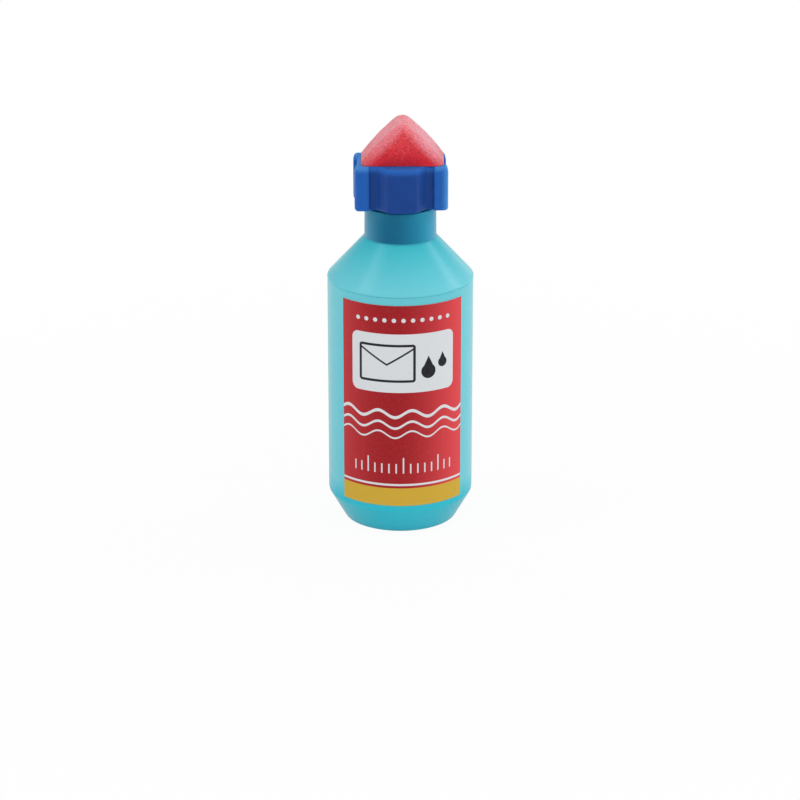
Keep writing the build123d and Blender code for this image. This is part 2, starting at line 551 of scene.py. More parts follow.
def thread_ridge(wire, radius, start_z, outward, thread):
    """A right-handed screw thread on a wall of this radius, as Geometry Nodes."""
    side = 1 if outward else -1
    spiral = wire.add("GeometryNodeCurveSpiral", {
        "Resolution": thread.steps,
        "Rotations": thread.turns,
        "Start Radius": radius,
        "End Radius": radius,
        "Height": thread.pitch * thread.turns,
        "Reverse": True,
    })
    upright = wire.add("GeometryNodeSetCurveNormal", {"Curve": spiral}, mode="Z_UP")
    section = wire.add("GeometryNodeCurvePrimitiveQuadrilateral", {
        "Height": thread.depth + thread.sink,
        "Bottom Width": thread.root_width,
        "Top Width": thread.crest_width,
        "Offset": 0.0,
    }, mode="TRAPEZOID")
    turned = wire.add("GeometryNodeTransform", {
        "Geometry": section,
        "Translation": (side * (thread.depth - thread.sink) / 2, 0, 0),
        "Rotation": (0, 0, -side * math.pi / 2),
    })
    sockets = {"Curve": upright, "Profile Curve": turned, "Fill Caps": True}
    ridge = wire.add("GeometryNodeCurveToMesh", sockets)
    return wire.add("GeometryNodeTransform", {"Geometry": ridge, "Translation": (0, 0, start_z)})


def bottle_section(sizes):
    """The wall's outline from the middle of the base, up the outside and down the inside.

    Gives points of (radius, height), and how many of them are outside.
    """
    dome_steps = 8
    round_steps = 5
    flat_share = 0.95
    wall = sizes.wall
    rim_z = bottle_high.z
    foot_inner = sizes.base_radius - sizes.foot_width
    body_radius = bottle_high.y
    ways = [k / dome_steps for k in range(dome_steps)]
    dome = [(foot_inner * way, sizes.base_hollow * (1 - way**2), 0) for way in ways]
    lean = math.atan2(body_radius - sizes.base_radius, sizes.base_height)
    slope = math.atan2(body_radius - sizes.neck_radius, sizes.neck_root - sizes.shoulder_edge)
    low_inner = wall * math.tan(lean / 2)
    high_inner = wall * math.tan(slope / 2)
    groove_z = sizes.shoulder_edge - sizes.shoulder_edge_round * math.tan(slope / 2) - sizes.groove_width
    outside = dome + [
        (foot_inner, 0, sizes.foot_round),
        (sizes.base_radius, 0, sizes.foot_round),
        (body_radius, sizes.base_height, sizes.lower_edge_round),
        (body_radius, groove_z - sizes.groove_width, 0),
        (body_radius - sizes.groove_depth, groove_z, 0),
        (body_radius + sizes.bead, groove_z + sizes.groove_width, 0),
        (body_radius + sizes.bead, sizes.shoulder_edge, sizes.shoulder_edge_round),
        (sizes.neck_radius, sizes.neck_root, sizes.neck_root_round),
        (sizes.neck_radius, sizes.neck_top, sizes.rim_round),
        (sizes.mouth_radius, sizes.neck_top, sizes.rim_round),
        (sizes.mouth_radius, rim_z, sizes.rim_round),
    ]
    floor_radius = sizes.base_radius - wall / math.cos(lean) + wall * math.tan(lean)
    inside = [
        (sizes.mouth_radius - wall, rim_z, sizes.rim_round),
        (sizes.mouth_radius - wall, sizes.neck_top - wall, sizes.inner_round),
        (sizes.neck_radius - wall, sizes.neck_top - wall, sizes.inner_round),
        (sizes.neck_radius - wall, sizes.neck_root - high_inner, sizes.inner_round),
        (body_radius - wall, sizes.shoulder_edge - high_inner, sizes.inner_round),
        (body_radius - wall, sizes.base_height + low_inner, sizes.inner_round),
        (floor_radius, wall, sizes.inner_round),
        (foot_inner * flat_share, wall, sizes.inner_round),
    ]
    hollow = [(x, z + wall, 0) for x, z, _ in reversed(dome)]
    points = rounded(outside + inside + hollow, steps=round_steps, closed=False)
    outer_points = len(rounded(outside + inside[:1], steps=round_steps, closed=False)) - 1
    return points, outer_points


def lathe_tree(values, material, thread, mouth_radius):
    """Geometry Nodes that turn a section about Z, raise a mould line on its outside and add the thread."""
    tree, given = new_tree("Turned bottle", values)
    section = given["Geometry"]
    columns = given["Columns"]
    points = section.add("GeometryNodeAttributeDomainSize", {"Geometry": section})
    sheet = section.add("GeometryNodeMeshGrid", {
        "Size X": points - 1,
        "Size Y": columns,
        "Vertices X": points,
        "Vertices Y": columns + 1,
    })
    place = section.add("GeometryNodeInputPosition")
    flat_x, flat_y, _ = place.xyz()
    along = (flat_x + (points - 1) / 2).math("ROUND")
    way_round = (flat_y + columns / 2) / columns
    crowd = given["Crowding"] * (way_round * (2 * math.tau)).math("SINE") * 0.5
    swing = way_round * math.tau - crowd
    sockets = {"Geometry": section, "Value": place, "Index": along}
    sampled = section.add("GeometryNodeSampleIndex", sockets, data_type="FLOAT_VECTOR", domain="POINT")
    radius, _, height = sampled.xyz()
    turned = section.add("ShaderNodeCombineXYZ", {
        "X": radius * swing.math("COSINE"),
        "Y": radius * swing.math("SINE"),
        "Z": height,
    })
    marked = sheet.store("outside", along.math("LESS_THAN", given["Outer Points"]))
    shaped = section.add("GeometryNodeSetPosition", {"Geometry": marked, "Position": turned})
    turned_out = section.add("GeometryNodeFlipFaces", {"Mesh": shaped})
    sockets = {"Geometry": turned_out, "Distance": same_place}
    closed = section.add("GeometryNodeMergeByDistance", sockets)

    # The mould line fades out at the foot and under the ledge
    fade = 0.001
    _, y, z = section.add("GeometryNodeInputPosition").xyz()
    outside = section.add("GeometryNodeInputNamedAttribute", {"Name": "outside"}, data_type="FLOAT")
    line = 1 - (abs(y) / given["Line Width"]).lowest(1.0)
    above_foot = z.step(fade / 2, fade * 1.5)
    below_top = 1 - (z - given["Line Top"]).step(-fade, 0.0)
    lined = closed.push(line * above_foot * below_top * outside * given["Line Height"])
    ridge = thread_ridge(section, mouth_radius, thread.mouth_thread_start, True, thread)
    close_tree(ridge.join(lined), material)
    return tree


def bottle_plastic(sizes):
    """Satin translucent polyethylene, deeper in colour where the wall is thick, with painted light on the
    neck's sides.
    """
    # Distances over which one colour or mark passes into the next
    seam = 0.0002
    edge_fade = 0.001
    base_fade = 0.006
    ledge_fade = 0.003
    mark_reach = 0.003
    mark_fade = 0.0005

    material, place = new_material("bottle_plastic")
    x, _, z = place.xyz()
    top = bottle_high.z
    plastic = (z / top).ramp(
        (0.0, sizes.base_colour),
        ((sizes.base_height + edge_fade) / top, sizes.base_colour),
        ((sizes.base_height + base_fade) / top, sizes.body_colour),
        ((sizes.shoulder_edge + edge_fade) / top, sizes.body_colour),
        ((sizes.neck_root - seam) / top, sizes.shoulder_colour),
        ((sizes.neck_root + seam) / top, sizes.neck_colour),
        ((sizes.neck_top - ledge_fade) / top, sizes.neck_colour),
        (sizes.neck_top / top, sizes.ledge_colour),
    )

    # Painted light on the neck's sides: strongest on the right, weaker on the left
    side = x / sizes.neck_radius
    painted_light_side = side.step(-0.3, 1.2) + (side * -1.0).step(0.4, 1.2) * 0.7
    on_neck = z.step(sizes.neck_root - seam, sizes.neck_root + seam)
    plastic = (painted_light_side * on_neck).mix(plastic, sizes.thin_colour)
    cloud = place.noise(scale=90.0, detail=3.0)
    grain = place.noise(scale=2600.0)
    sink = place.noise(scale=70.0)
    scuff = place.noise(scale=900.0, detail=4.0, roughness=0.65)
    marks = (z * (math.tau / sizes.ring_pitch)).math("SINE")
    marks = marks * z.step(sizes.neck_root - mark_reach, sizes.neck_root - mark_fade)
    marks = marks * (1 - z.step(sizes.neck_root - seam, sizes.neck_root))
    finish_material(place, {
        "IOR": 1.5,
        "Specular IOR Level": 0.35,
        "Subsurface Weight": 0.25,
        "Subsurface Radius": (0.4, 1.0, 1.0),
        "Subsurface Scale": 0.0015,
        "Base Color": ((cloud - 0.35) * 0.06).mix(plastic, sizes.milk_colour),
        "Roughness": sizes.roughness + (scuff - 0.5) * 0.16 + (grain - 0.5) * 0.08,
        "Normal": (sink * 1.2 + grain * 0.12 + marks * 0.06).bump(0.25, 0.0003),
    })
    return material


class MOISTENER_OT_bottle(bpy.types.Operator):
    """Turn the bottle's wall about its axis, with its mould line and thread"""

    bl_idname = "moistener.bottle"
    bl_label = "Mould the bottle"

    def execute(self, context):
        sizes = context.scene.moistener_bottle
        thread = context.scene.moistener_thread
        points, outer_points = bottle_section(sizes)
        shape = bmesh.new()
        line = [shape.verts.new((x, 0, z)) for x, z in points]
        for pair in zip(line, line[1:]):
            shape.edges.new(pair)
        piece = new_piece("bottle_shell", shape)
        values = {
            "Columns": sizes.columns,
            "Crowding": sizes.crowding,
            "Outer Points": outer_points,
            "Line Height": sizes.mould_line_height,
            "Line Width": sizes.mould_line_width,
            "Line Top": sizes.neck_top - sizes.rim_round,
        }
        tree = lathe_tree(values, bottle_plastic(sizes), thread, sizes.mouth_radius)
        run_tree(piece, tree, values)
        soften(piece)
        dress(piece, "bottle", "bottle")
        return {"FINISHED"}


def washer_rubber():
    """Soft pale rubber."""
    material, place = new_material("washer_rubber")
    grain = place.noise(scale=1800.0, detail=3.0)
    finish_material(place, {
        "IOR": 1.45,
        "Base Color": grain.mix((0.62, 0.62, 0.60), (0.78, 0.78, 0.75)),
        "Roughness": 0.7 + (grain - 0.5) * 0.2,
        "Normal": grain.bump(0.3, 0.0001),
    })
    return material


class MOISTENER_OT_washer(bpy.types.Operator):
    """Give the sealing washer its soft pale rubber"""

    bl_idname = "moistener.washer"
    bl_label = "Finish the washer"

    def execute(self, context):
        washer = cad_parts["sealing_washer"]
        washer.data.materials.clear()
        washer.data.materials.append(washer_rubber())
        return {"FINISHED"}


def cap_corners(sizes):
    """The cap's plan, anticlockwise from the middle of the front nose, as (x, y, radius)."""
    nose_radius = cap_high.y
    post_x = cap_high.x
    half = sizes.nose_half_width
    root_x = math.sqrt(sizes.skirt_radius**2 - sizes.front_panel**2)
    tip_y = math.sqrt(nose_radius**2 - half**2)
    reach = math.asin(half / nose_radius)
    inner_x = post_x - sizes.post_size
    inner_y = sizes.post_front - sizes.post_size
    edge = sizes.edge_round
    swings = [reach * k / sizes.nose_steps for k in range(sizes.nose_steps)]
    nose = [(nose_radius * math.sin(swing), -nose_radius * math.cos(swing), 0) for swing in swings]
    quarter = nose + [
        (half, -tip_y, sizes.nose_round),
        (root_x, -sizes.front_panel, sizes.root_round),
        (inner_x, -sizes.front_panel, edge),
        (inner_x, -sizes.post_front, edge),
        (post_x, -sizes.post_front, sizes.post_round),
        (post_x, -inner_y, edge),
        (sizes.end_panel, -inner_y, edge),
    ]
    right = quarter + [(x, -y, radius) for x, y, radius in reversed(quarter)]
    left = [(-x, y, radius) for x, y, radius in reversed(right)]
    return right + left[1:-1]


def cap_block(sizes):
    """The cap's solid with its rounded edges, bore and well."""
    corners = cap_corners(sizes)
    shape = bmesh.new()
    swings = quarter_turn(sizes.edge_steps)
    loops = []
    for swing in swings:
        inset = sizes.bottom_round * (1 - math.sin(swing))
        rise = sizes.bottom_rise * (1 - math.cos(swing))
        loops.append(ring(shape, rounded(corners, inset), cap_low.z + rise))
    for swing in swings:
        inset = sizes.top_round * (1 - math.cos(swing))
        drop = sizes.top_drop * (1 - math.sin(swing))
        loops.append(ring(shape, rounded(corners, inset), cap_high.z - drop))
    for lower, upper in zip(loops, loops[1:]):
        strip(shape, lower, upper)

    # The well from above and the bore from below, each a wall and its end
    well = rounded_box(sizes.well_width / 2, sizes.well_depth / 2, sizes.well_corner)
    swings = [math.tau * k / sizes.bore_columns for k in range(sizes.bore_columns)]
    bore = [(sizes.bore_radius * math.cos(swing), sizes.bore_radius * math.sin(swing)) for swing in swings]
    hollows = (well, cap_high.z, sponge_low.z), (bore, cap_low.z, washer_high.z)
    mouths = []
    for plan, mouth_z, end_z in hollows:
        mouth = ring(shape, plan, mouth_z)
        end = ring(shape, plan, end_z)
        strip(shape, mouth, end)
        shape.faces.new(end)
        mouths.append(mouth)
    for outline, mouth in zip((loops[-1], loops[0]), mouths):
        edges = loop_edges(shape, outline) + loop_edges(shape, mouth)
        bmesh.ops.triangle_fill(shape, edges=edges, use_beauty=True)
    bmesh.ops.remove_doubles(shape, verts=shape.verts, dist=2 * same_place)
    bmesh.ops.recalc_face_normals(shape, faces=shape.faces)
    return new_piece("cap_shell", shape)


def perforation_tree(values, material, thread, bore_radius):
    """Geometry Nodes that drill the feed holes through the well's floor and add the thread in the bore."""
    tree, given = new_tree("Drilled cap", values)
    block = given["Geometry"]
    drill = block.add("GeometryNodeMeshCylinder", {
        "Vertices": 32,
        "Radius": given["Hole Radius"],
        "Depth": (given["Floor"] - given["Ceiling"]) * 2,
    })
    sockets = {"Vertices": given["Hole Count"], "Radius": given["Hole Circle"]}
    circle = block.add("GeometryNodeMeshCircle", sockets)
    drills = block.add("GeometryNodeInstanceOnPoints", {"Points": circle, "Instance": drill})
    middle = block.add("ShaderNodeCombineXYZ", {"Z": (given["Floor"] + given["Ceiling"]) / 2})
    real = block.add("GeometryNodeRealizeInstances", {"Geometry": drills.join(drill)})
    raised = block.add("GeometryNodeTransform", {"Geometry": real, "Translation": middle})
    sockets = {"Mesh 1": block, "Mesh 2": raised}
    drilled = block.add("GeometryNodeMeshBoolean", sockets, operation="DIFFERENCE", solver="EXACT")
    ridge = thread_ridge(block, bore_radius, thread.cap_thread_start, False, thread)
    close_tree(ridge.join(drilled), material)
    return tree


def cap_plastic(sizes):
    """Semi-gloss coloured polypropylene with a faintly uneven skin, with painted light on its posts and rim
    and a painted highlight on the posts' tops and right corners.
    """
    material, place = new_material("cap_plastic")
    flow = place.noise(scale=260.0, detail=3.0)
    grain = place.noise(scale=3200.0)
    rub = place.noise(scale=1100.0, detail=5.0, roughness=0.7).step(0.58, 0.80)
    x, y, z = place.xyz()

    # Where the painted light falls on the posts and rim, and the painted highlight on the posts' tops and
    # right corners, each with the distances over which it fades in
    post_start = cap_high.x - sizes.post_size
    posts = abs(x).step(post_start - 0.0004, post_start + 0.0008)
    rim = z.step(cap_high.z - 0.0022, cap_high.z - 0.0002)
    top = posts * z.step(cap_high.z - 0.0016, cap_high.z - 0.0004) * 0.7
    corner = x.step(cap_high.x - 0.0022, cap_high.x - 0.0002)
    corner = corner * abs(y).step(sizes.post_front - 0.0030, sizes.post_front - 0.0018)

    deep = tuple(value * 0.82 for value in sizes.plastic_colour)
    plastic = flow.mix(deep, sizes.plastic_colour)
    # Painted light on the posts and rim
    plastic = (posts.highest(rim) * 0.9).mix(plastic, sizes.thin_colour)
    # Painted highlight on the posts' tops and right corners
    plastic = top.highest(corner).mix(plastic, sizes.edge_colour)
    finish_material(place, {
        "IOR": 1.5,
        "Specular IOR Level": 0.25,
        "Subsurface Weight": 0.5,
        "Subsurface Radius": (0.2, 0.5, 1.0),
        "Subsurface Scale": 0.0025,
        "Base Color": (rub * 0.05).mix(plastic, sizes.rub_colour),
        "Roughness": sizes.roughness + (grain - 0.5) * 0.08 + rub * 0.14 + rim * 0.25,
        "Normal": (flow * 0.8 + grain * 0.15).bump(0.2, 0.0002),
    })
    return material


class MOISTENER_OT_cap(bpy.types.Operator):
    """Mould the screw cap with its posts, nose, well, feed holes and thread"""

    bl_idname = "moistener.cap"
    bl_label = "Mould the cap"

    def execute(self, context):
        sizes = context.scene.moistener_cap
        thread = context.scene.moistener_thread
        piece = cap_block(sizes)
        values = {
            "Hole Radius": sizes.feed_hole_radius,
            "Hole Circle": sizes.feed_hole_circle,
            "Hole Count": sizes.feed_hole_count,
            "Floor": sponge_low.z,
            "Ceiling": washer_high.z,
        }
        tree = perforation_tree(values, cap_plastic(sizes), thread, sizes.bore_radius)
        run_tree(piece, tree, values)
        soften(piece)
        dress(piece, "screw_cap", "cap")
        return {"FINISHED"}


def wedge_profile(sizes, inset):
    """The wedge's end view with its sides and slopes moved in, anticlockwise from its right foot."""
    slope_steps = 16
    ridge_steps = 8
    foot = Vector((sponge_high.x + sizes.swell, cap_high.z + sizes.side_height))
    apex = Vector((0, cap_high.z + sizes.ridge_height))
    chord = apex - foot
    bend = (chord.length_squared / 4 + sizes.slope_bulge**2) / (2 * sizes.slope_bulge)
    outward = Vector((chord.y, -chord.x)).normalized()
    centre = (foot + apex) / 2 + outward * (sizes.slope_bulge - bend)
    ridge = Vector((0, centre.y + math.sqrt((bend - sizes.ridge_round) ** 2 - centre.x**2)))
    touch = ridge - centre
    start = math.acos((foot.x - inset - centre.x) / (bend - inset))
    end = math.atan2(touch.y, touch.x)
    right = [Vector((foot.x - inset, cap_high.z))]
    for step in range(slope_steps + 1):
        swing = start + (end - start) * step / slope_steps
        right.append(centre + on_circle(bend - inset, swing))
    for step in range(1, ridge_steps + 1):
        swing = end + (math.pi / 2 - end) * step / ridge_steps
        right.append(ridge + on_circle(sizes.ridge_round - inset, swing))
    return right + [Vector((-point.x, point.y)) for point in reversed(right[:-1])]


def wedge_blank(sizes, cap):
    """The uncut foam: a wedge with rounded gables, over a plug that fills the cap's well."""
    shape = bmesh.new()
    edge = sizes.edge_round
    swings = quarter_turn(steps=8)
    front = [(edge * (1 - math.sin(swing)), edge * (1 - math.cos(swing))) for swing in swings]
    sections = [(sponge_low.y + depth, inset) for inset, depth in front]
    sections += [(sponge_high.y - depth, inset) for inset, depth in reversed(front)]
    seat = Matrix.Translation((sizes.sits_aside, 0, 0)) @ Matrix.Rotation(sizes.sits_turned, 4, "Z")
    loops = [
        [shape.verts.new(seat @ Vector((x, y, z))) for x, z in wedge_profile(sizes, inset)]
        for y, inset in sections
    ]
    for near, far in zip(loops, loops[1:]):
        strip(shape, near, far)
    shape.faces.new(loops[0])
    shape.faces.new(loops[-1])
    bmesh.ops.recalc_face_normals(shape, faces=shape.faces)
    half_x = cap.well_width / 2 - sizes.plug_gap
    half_y = cap.well_depth / 2 - sizes.plug_gap
    plan = rounded_box(half_x, half_y, cap.well_corner)
    low = ring(shape, plan, sponge_low.z)
    high = ring(shape, plan, cap_high.z + sizes.side_height)
    strip(shape, low, high)
    shape.faces.new(list(reversed(low)))
    shape.faces.new(high)
    return new_piece("sponge_foam", shape)


def even_faces(piece, size):
    """Remake a piece in even faces of this size, and relax them."""
    remesh = piece.modifiers.new("Even faces", "REMESH")
    remesh.mode = "VOXEL"
    remesh.voxel_size = size
    relax = piece.modifiers.new("Relax", "SMOOTH")
    relax.factor = 0.5
    relax.iterations = 3
    keep_result(piece)


def foam_tree(values, material):
    """Geometry Nodes that open the foam's cells over its surface, and mark its pits and where its slopes
    get a painted sheen.
    """
    tree, given = new_tree("Open cells", values)
    blank = given["Geometry"]
    place = blank.add("GeometryNodeInputPosition")
    x, _, z = place.xyz()
    drift = blank.add("ShaderNodeCombineXYZ", {"X": given["Seed"]})
    moved = blank.add("ShaderNodeVectorMath", {0: place, 1: drift}, operation="ADD")
    cells = {"Vector": moved, "Scale": 1 / given["Cell Size"]}
    wall = blank.add("ShaderNodeTexVoronoi", cells, feature="DISTANCE_TO_EDGE")
    chance, _, _ = blank.add("ShaderNodeTexVoronoi", cells, out="Color", feature="F1").xyz()
    pit = wall.step(0.03, 0.30) * (0.25 + 0.75 * chance)

    # How far in from the slopes a place is: straight below them, times the slopes' cosine
    drop = abs(x - given["Ridge X"]) * (given["Ridge"] - cap_high.z) / given["Half Width"]
    below = given["Ridge"] - z - drop
    # Painted sheen near the slopes, stronger higher up
    painted_sheen_mask = 1 - (below * 0.7).step(0.0, given["Skin Depth"])
    skin = painted_sheen_mask * (0.5 + 0.5 * z.step(cap_high.z, cap_high.z + 0.007))
    marked = blank.store("pit", pit).store("skin", skin)

    bare = z.step(cap_high.z + 0.0001, cap_high.z + 0.0009)
    lumps = (moved.noise(scale=330.0) - 0.62) * given["Lump Height"] * 2
    pits = (pit + (moved.noise(scale=5200.0) - 0.5) * 0.35) * given["Pit Depth"]
    cut = marked.push((lumps - pits) * bare)
    close_tree(blank.add("GeometryNodeSetShadeSmooth", {"Geometry": cut}), material)
    return tree


def sponge_foam(sizes):
    """Open-cell foam: light cell walls, pits with painted shade, a colour that is darker towards the cap,
    and a painted pale sheen on the slopes, brighter on the right.
    """
    material, place = new_material("sponge_foam")
    pit = place.add("ShaderNodeAttribute", out="Fac", attribute_name="pit")
    skin = place.add("ShaderNodeAttribute", out="Fac", attribute_name="skin")
    fleck = place.noise(scale=3000.0, roughness=0.6)
    x, _, z = place.xyz()
    # Painted sheen on the slopes, brighter towards the right
    painted_sheen_tone = x.step(0.001, 0.009).mix(sizes.skin_colour, sizes.dry_colour)
    # Darker towards the cap
    darker = 1 - (z - cap_high.z).step(0.0, sizes.damp_height)
    # Painted shade in the pits
    foam = pit.step(0.10, 0.75).mix(sizes.foam_colour, sizes.pit_colour)
    foam = (darker * 0.8).mix(foam, sizes.damp_colour)
    foam = ((1 - fleck.step(0.28, 0.50)) * 0.45).mix(foam, sizes.pit_colour)
    foam = (fleck.step(0.55, 0.70) * (0.34 - darker * 0.24)).mix(foam, sizes.skin_colour)
    finish_material(place, {
        "IOR": 1.35,
        "Specular IOR Level": 0.25,
        "Sheen Weight": 1.0,
        "Sheen Roughness": 0.35,
        "Sheen Tint": (1.0, 0.84, 0.87, 1.0),
        "Subsurface Weight": 0.3,
        "Subsurface Radius": (1.0, 0.25, 0.25),
        "Subsurface Scale": 0.0012,
        "Base Color": (skin * (fleck * 1.6 - 0.3)).mix(foam, painted_sheen_tone),
        "Roughness": 0.82 + (fleck - 0.5) * 0.2,
        "Normal": fleck.bump(0.5, 0.0001),
    })
    return material


class MOISTENER_OT_sponge(bpy.types.Operator):
    """Cut the foam wedge and open its cells"""

    bl_idname = "moistener.sponge"
    bl_label = "Cut the sponge"

    def execute(self, context):
        sizes = context.scene.moistener_sponge
        piece = wedge_blank(sizes, context.scene.moistener_cap)
        even_faces(piece, sizes.grid)
        values = {
            "Cell Size": sizes.cell_size,
            "Pit Depth": sizes.pit_depth,
            "Lump Height": sizes.lump_height,
            "Seed": sizes.seed,
            "Ridge": cap_high.z + sizes.ridge_height,
            "Ridge X": sizes.sits_aside,
            "Half Width": sponge_high.x + sizes.swell,
            "Skin Depth": sizes.skin_depth,
        }
        run_tree(piece, foam_tree(values, sponge_foam(sizes)), values)
        dress(piece, "sponge", "cap")
        return {"FINISHED"}


# The label's print, in millimetres from the middle of its foot: u runs right and v runs up


def box_distance(u, v, centre, half, corner):
    """Signed distance to a rounded box on the label."""
    across = abs(u - centre[0]) - (half[0] - corner)
    along = abs(v - centre[1]) - (half[1] - corner)
    outside = across.highest(0.0).root_square(along.highest(0.0))
    return outside + across.highest(along).lowest(0.0) - corner


def drop_distance(u, v, centre, radius):
    """Signed distance, nearly, to a water drop on the label."""
    across, along = u - centre[0], v - centre[1]
    tip = radius * 2.1
    taper = abs(across) - (tip - along) * 0.47
    point = taper.highest(along * -1.0 + radius * 0.35, along - tip)
    return (across.root_square(along) - radius).lowest(point)


def printed(distance):
    """Ink where a signed distance is below 0, with a soft edge."""
    return 1 - distance.step(-0.06, 0.06)


def within(u, end):
    """1 as far as this from the middle of the label, and 0 beyond."""
    return 1 - abs(u).step(end, end + 0.1)


def dot_row(u, v, middle):
    """A row of dots at this height."""
    pitch = 2.6
    radius = 0.6
    return printed((u - u.nearest(pitch)).root_square(v - middle) - radius) * within(u, 14.2)


def wave_lines(u, v):
    """Three waves, each given by the height of its middle and half its width."""
    wave_length = 9.3
    swell = (u * (math.tau / wave_length)).math("SINE")
    lines = (27.0, 0.45), (23.8, 0.35), (21.0, 0.25)
    waves = [printed(abs(v - middle - swell) - half) for middle, half in lines]
    return waves[0].highest(*waves[1:])


def tick_scale(u, v):
    """A plain scale whose every fifth tick is taller."""
    pitch = 2.0
    tall_pitch = 10.0
    tall_extra = 1.8
    half_width = 0.2
    half_height = 1.4
    middle = 11.0
    tall = (1 - abs(u.nearest(tall_pitch) - u).step(0.9, 1.1)) * tall_extra
    ticks = printed(abs(u.nearest(pitch) - u) - half_width)
    return ticks * printed(abs(v - middle - tall * 0.5) - half_height - tall * 0.5) * within(u, 14.9)


def white_print(u, v, height):
    """Where the label stays pale: its panel, waves, dots, scale and line."""
    panel = printed(box_distance(u, v, centre=(0, height - 16.5), half=(15.0, 8.4), corner=2.0))
    dots = dot_row(u, v, middle=height - 4.2)
    line_middle = 6.2
    line_half = 0.3
    line = printed(abs(v - line_middle) - line_half)
    return panel.highest(wave_lines(u, v), dots, tick_scale(u, v), line)


def dark_print(u, v, height):
    """Where the panel has ink: an envelope with its flap, and two drops."""
    middle_u = -4.6
    middle_v = height - 16.5
    flap_slope = 0.62
    envelope = box_distance(u, v, centre=(middle_u, middle_v), half=(7.6, 5.1), corner=0.5)
    flap = abs(abs(u - middle_u) * flap_slope - (v - middle_v + 0.4)) - 0.30
    drops = drop_distance(u, v, centre=(7.0, height - 19.0), radius=2.1)
    drops = drops.lowest(drop_distance(u, v, centre=(11.3, height - 17.0), radius=1.4))
    return printed(abs(envelope) - 0.36).highest(printed(flap.highest(envelope)), printed(drops))


def label_paper(sizes, height):
    """Coated paper printed with a panel, dots, waves, a scale and a band."""
    band_top = 5.2
    material, place = new_material("label_paper")
    u, v, _ = place.add("ShaderNodeUVMap", uv_map="print").xyz()
    fibre = place.noise(scale=1500.0, detail=4.0, roughness=0.6)
    cloud = place.noise(scale=160.0)
    deep = tuple(value * 0.92 for value in sizes.ground_colour)
    ground = cloud.mix(deep, sizes.ground_colour)
    # Painted light: the ground brighter towards the right side and a little at the left edge
    ground = (u.step(-2.0, 20.0) + (u * -1.0).step(4.0, 24.0) * 0.5).mix(ground, sizes.bright_colour)
    pale = white_print(u, v, height)
    ink = dark_print(u, v, height)
    colours = pale.mix(ground, sizes.panel_colour)
    colours = ink.mix(colours, sizes.ink_colour)
    colours = printed(v - band_top).mix(colours, sizes.accent_colour)
    colours = v.math("LESS_THAN", -1.0).mix(colours, sizes.back_colour)
    finish_material(place, {
        "IOR": 1.5,
        "Specular IOR Level": 0.2,
        "Coat Roughness": 0.25,
        "Base Color": ((fibre - 0.45) * 0.10).mix(colours, sizes.fibre_colour),
        "Roughness": 0.40 + pale * 0.06 + (fibre - 0.5) * 0.12,
        "Coat Weight": 0.06 - ink * 0.03,
        "Normal": (fibre + cloud * 2.0).bump(0.18, 0.0001),
    })
    return material


def label_blank(sizes):
    """The bent sheet, with its face laid out flat in millimetres and its back and edges below the print."""
    millimetres = 1000
    off_print = -10
    shape = bmesh.new()
    chart = shape.loops.layers.uv.new("print")
    columns = []
    for place in range(sizes.columns + 1):
        swing = sizes.arc * (place / sizes.columns - 0.5)
        radii = (sizes.outer_radius, sizes.outer_radius, sizes.inner_radius, sizes.inner_radius)
        heights = (label_low.z, label_high.z, label_high.z, label_low.z)
        columns.append([
            shape.verts.new((radius * math.sin(swing), -radius * math.cos(swing), z))
            for radius, z in zip(radii, heights)
        ])
    for column, after in zip(columns, columns[1:]):
        strip(shape, column, after)
    shape.faces.new(columns[0])
    shape.faces.new(columns[-1])
    bmesh.ops.recalc_face_normals(shape, faces=shape.faces)
    middle = (sizes.inner_radius + sizes.outer_radius) / 2
    for face in shape.faces:
        printed_side = all(math.hypot(vert.co.x, vert.co.y) > middle for vert in face.verts)
        for corner in face.loops:
            place = corner.vert.co
            along = math.atan2(place.x, -place.y) * sizes.outer_radius * millimetres
            up = (place.z - label_low.z) * millimetres
            corner[chart].uv = (along, up if printed_side else off_print)
    piece = new_piece("label_sheet", shape)
    piece.data.materials.append(label_paper(sizes, (label_high.z - label_low.z) * millimetres))
    return piece


class MOISTENER_OT_label(bpy.types.Operator):
    """Bend the printed label round the front of the body"""

    bl_idname = "moistener.label"
    bl_label = "Stick the label"

    def execute(self, context):
        piece = label_blank(context.scene.moistener_label)
        soften(piece)
        dress(piece, "label", "bottle")
        return {"FINISHED"}


def ray_kinds(wire):
    """Two wires that are 1 for the camera's rays, and for rays that a shiny or clear surface sends on."""
    camera_ray = wire.add("ShaderNodeLightPath", out="Is Camera Ray")
    mirror_ray = camera_ray.output("Is Glossy Ray").highest(camera_ray.output("Is Transmission Ray"))
    return camera_ray, mirror_ray


def white_room(sizes):
    """A world that is white to the camera, dimmer on the left, and dark in front in reflections."""
    world = bpy.data.worlds.new("white_room")
    bpy.context.scene.world = world
    wire = clear_nodes(world)
    camera_ray, mirror_ray = ray_kinds(wire)

    # Directions, from -1 to 1 along each axis
    x, y, z = wire.add("ShaderNodeTexCoord", out="Generated").xyz()
    behind = y.step(-0.8, 0.3)
    right = x.step(-0.8, 0.8)
    backdrop = behind * (1 - z.step(0.0, 0.4) * sizes.ceiling_shade)
    room = sizes.front_light + behind * (sizes.back_light - sizes.front_light)
    room = room * (1 - sizes.side_shade + right * (2 * sizes.side_shade))
    glare = sizes.front_glare + backdrop * (1 - sizes.front_glare)
    glare = glare * (sizes.side_glare + right * (1 - sizes.side_glare))
    strength = camera_ray + mirror_ray * glare + (1 - camera_ray - mirror_ray) * room
    end_nodes(wire.add("ShaderNodeBackground", {"Color": white, "Strength": strength}), "World")


